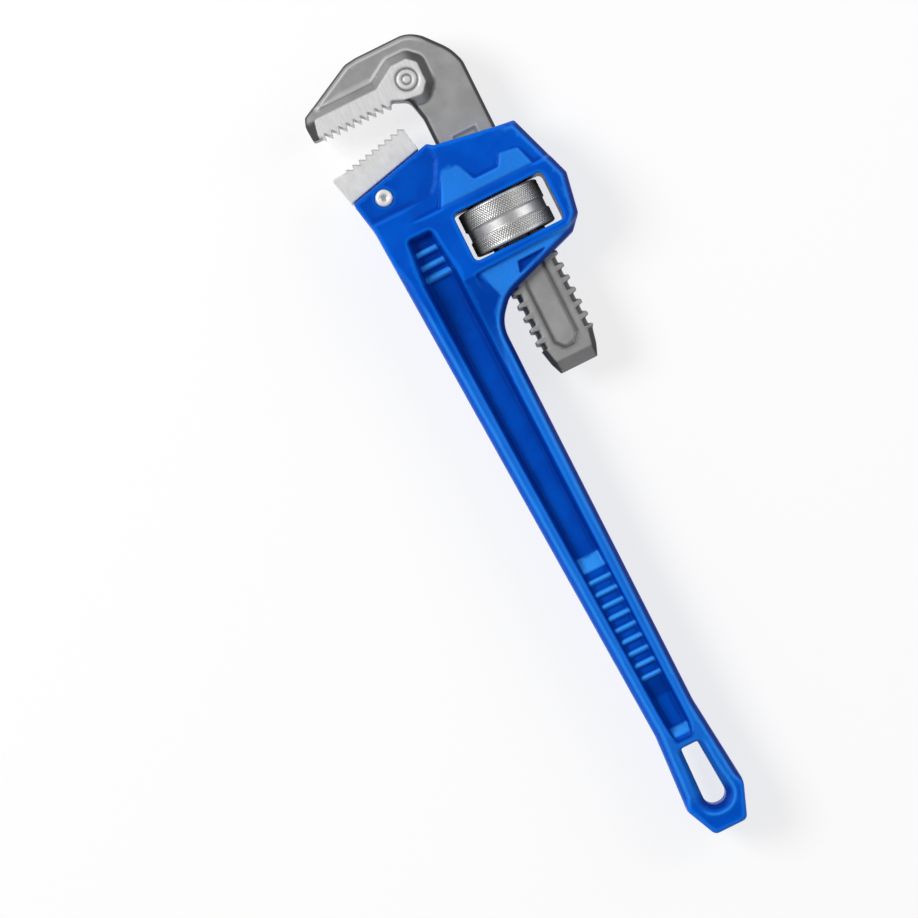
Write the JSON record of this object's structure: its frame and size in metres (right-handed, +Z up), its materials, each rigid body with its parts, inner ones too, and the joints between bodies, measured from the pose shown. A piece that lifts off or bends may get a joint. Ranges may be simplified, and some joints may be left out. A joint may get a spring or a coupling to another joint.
{
  "type": "pipe wrench",
  "caption": "Straight pipe wrench: cast handle with housing, toothed hook jaw on a threaded shank moved by a knurled nut in a window, and a pinned toothed heel jaw.",
  "frame": {"origin": "under the middle of the wrench's bounding box, on the surface that it lies on", "axes": "+Y along the hook jaw's shank, from the handle towards the jaws; +X from the mouth towards the back of the housing; +Z up, through the wrench's thickness"},
  "size_m": [0.0854, 0.3416, 0.0348],
  "materials": {
    "blue_paint": "semi-gloss enamel over cast iron",
    "forged_steel": "grey phosphated forging with ground jaw faces",
    "ground_steel": "bright ground",
    "nut_steel": "zinc plated, knurled",
    "spring_steel": "oiled, blued"
  },
  "bodies": {
    "handle": {"handle": "blue_paint", "heel_jaw": "ground_steel", "heel_jaw_pin": "ground_steel", "spring_rivet": "spring_steel"},
    "jaw_suspension": {"flat_spring": "spring_steel", "coil_spring": "spring_steel"},
    "hook_jaw": {"hook_jaw": "forged_steel"},
    "nut": {"adjusting_nut": "nut_steel"}
  },
  "joints": [
    {"name": "jaw_rock", "type": "hinge", "parent": "handle", "child": "jaw_suspension", "pos_m": [0.01325, 0.0866, 0.0174], "axis": [0, 0, -1], "range_deg": [0, 2.5], "stiffness_Nm_per_rad": 4, "springref_deg": -3.44, "deforming": ["flat_spring", "coil_spring"]},
    {"name": "jaw_slide", "type": "slide", "parent": "jaw_suspension", "child": "hook_jaw", "axis": [0, 1, 0], "range_m": [-0.0085, 0.044]},
    {"name": "nut_spin", "type": "hinge", "parent": "jaw_suspension", "child": "nut", "pos_m": [0.01325, 0.0866, 0.0174], "axis": [0, 1, 0], "range_deg": [-2940, 570]}
  ],
  "couplings": [
    {"joint": "nut_spin", "follows": "jaw_slide", "rad_per_m": -1163.6}
  ]
}
